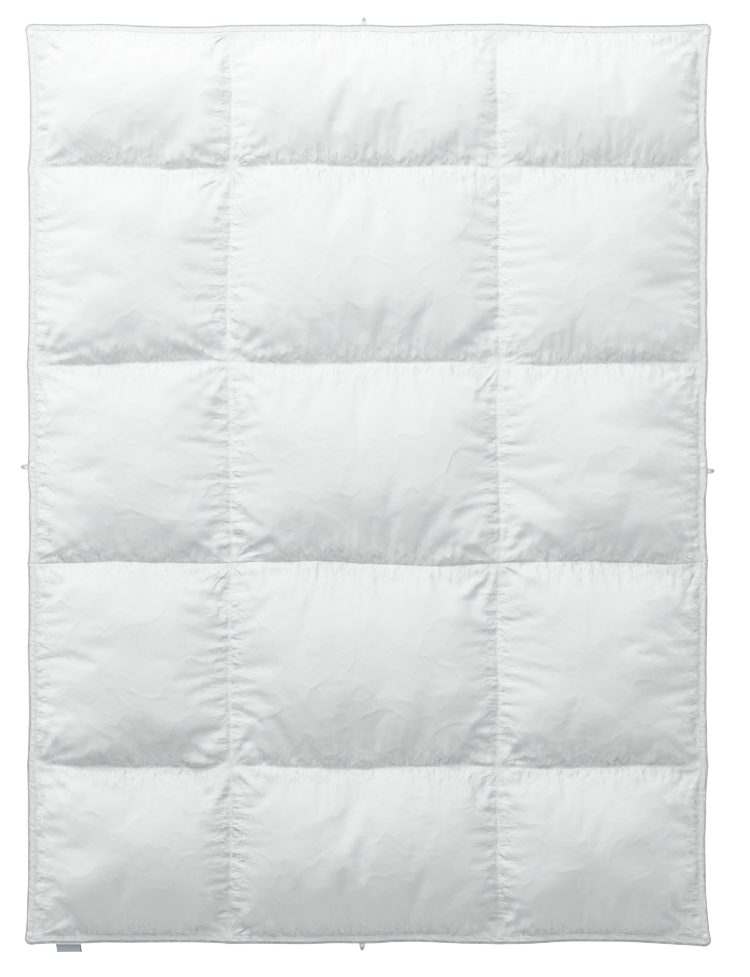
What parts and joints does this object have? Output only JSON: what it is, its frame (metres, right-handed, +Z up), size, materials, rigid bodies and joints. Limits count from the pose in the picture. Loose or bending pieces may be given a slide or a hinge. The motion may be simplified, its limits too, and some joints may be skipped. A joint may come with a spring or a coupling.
{
  "type": "down duvet",
  "caption": "White down duvet lying flat, quilted in puffy baffle-box pockets, with piped edges, tie loops, press studs and a plain woven label.",
  "frame": {"origin": "centre of the underside, on the surface that the duvet lies on", "axes": "+X to the right across the width, +Y along the length to the head end, +Z up"},
  "size_m": [1.512, 2.0349, 0.09],
  "materials": {
    "cover_cloth": "matte",
    "baffle_cloth": "matte",
    "down": "matte",
    "piping_cord": "matte",
    "band_tape": "matte",
    "stud_plastic": "gloss",
    "loop_tape": "matte",
    "label_tape": "matte"
  },
  "bodies": {
    "middle": {"bottom_cover_middle": "cover_cloth", "crosswise_baffle_1": "baffle_cloth", "crosswise_baffle_2": "baffle_cloth", "crosswise_baffle_3": "baffle_cloth", "crosswise_baffle_4": "baffle_cloth", "down_fill_2_1": "down", "down_fill_2_2": "down", "down_fill_2_3": "down", "down_fill_3_1": "down", "down_fill_3_2": "down", "down_fill_3_3": "down", "down_fill_4_1": "down", "down_fill_4_2": "down", "down_fill_4_3": "down", "edge_band_left": "band_tape", "edge_band_right": "band_tape", "lengthwise_baffle_2_1": "baffle_cloth", "lengthwise_baffle_2_2": "baffle_cloth", "lengthwise_baffle_3_1": "baffle_cloth", "lengthwise_baffle_3_2": "baffle_cloth", "lengthwise_baffle_4_1": "baffle_cloth", "lengthwise_baffle_4_2": "baffle_cloth", "piping_left": "piping_cord", "piping_right": "piping_cord", "stud_cap_middle_left": "stud_plastic", "stud_cap_middle_right": "stud_plastic", "stud_socket_middle_left": "stud_plastic", "stud_socket_middle_right": "stud_plastic", "top_cover_middle": "cover_cloth"},
    "head": {"bottom_cover_head": "cover_cloth", "down_fill_1_1": "down", "down_fill_1_2": "down", "down_fill_1_3": "down", "edge_band_head": "band_tape", "lengthwise_baffle_1_1": "baffle_cloth", "lengthwise_baffle_1_2": "baffle_cloth", "piping_head": "piping_cord", "stud_cap_head_left": "stud_plastic", "stud_cap_head_right": "stud_plastic", "stud_socket_head_left": "stud_plastic", "stud_socket_head_right": "stud_plastic", "top_cover_head": "cover_cloth"},
    "foot": {"bottom_cover_foot": "cover_cloth", "down_fill_5_1": "down", "down_fill_5_2": "down", "down_fill_5_3": "down", "edge_band_foot": "band_tape", "lengthwise_baffle_5_1": "baffle_cloth", "lengthwise_baffle_5_2": "baffle_cloth", "piping_foot": "piping_cord", "stud_cap_foot_left": "stud_plastic", "stud_cap_foot_right": "stud_plastic", "stud_socket_foot_left": "stud_plastic", "stud_socket_foot_right": "stud_plastic", "top_cover_foot": "cover_cloth"},
    "loop_head": {"loop_head": "loop_tape"},
    "loop_foot": {"loop_foot": "loop_tape"},
    "loop_left": {"loop_left": "loop_tape"},
    "loop_right": {"loop_right": "loop_tape"},
    "label": {"label": "label_tape"}
  },
  "joints": [
    {"name": "head_turn_down", "type": "hinge", "parent": "middle", "child": "head", "pos_m": [0, 0.686, 0.098], "axis": [1, 0, 0], "range_deg": [0, 175]},
    {"name": "foot_turn_up", "type": "hinge", "parent": "middle", "child": "foot", "pos_m": [0, -0.613, 0.098], "axis": [-1, 0, 0], "range_deg": [0, 175]},
    {"name": "loop_head_flap", "type": "hinge", "parent": "head", "child": "loop_head", "pos_m": [-0.008, 1.00265, 0.0025], "axis": [1, 0, 0], "range_deg": [0, 90]},
    {"name": "loop_foot_flap", "type": "hinge", "parent": "foot", "child": "loop_foot", "pos_m": [-0.012, -1.00265, 0.0025], "axis": [-1, 0, 0], "range_deg": [0, 90]},
    {"name": "loop_left_flap", "type": "hinge", "parent": "middle", "child": "loop_left", "pos_m": [-0.74265, 0.037, 0.0025], "axis": [0, 1, 0], "range_deg": [0, 90]},
    {"name": "loop_right_flap", "type": "hinge", "parent": "middle", "child": "loop_right", "pos_m": [0.74265, 0.028, 0.0025], "axis": [0, -1, 0], "range_deg": [0, 90]},
    {"name": "label_flap", "type": "hinge", "parent": "foot", "child": "label", "pos_m": [-0.651, -1.0009, 0.0007], "axis": [-1, 0, 0], "range_deg": [0, 90]}
  ]
}
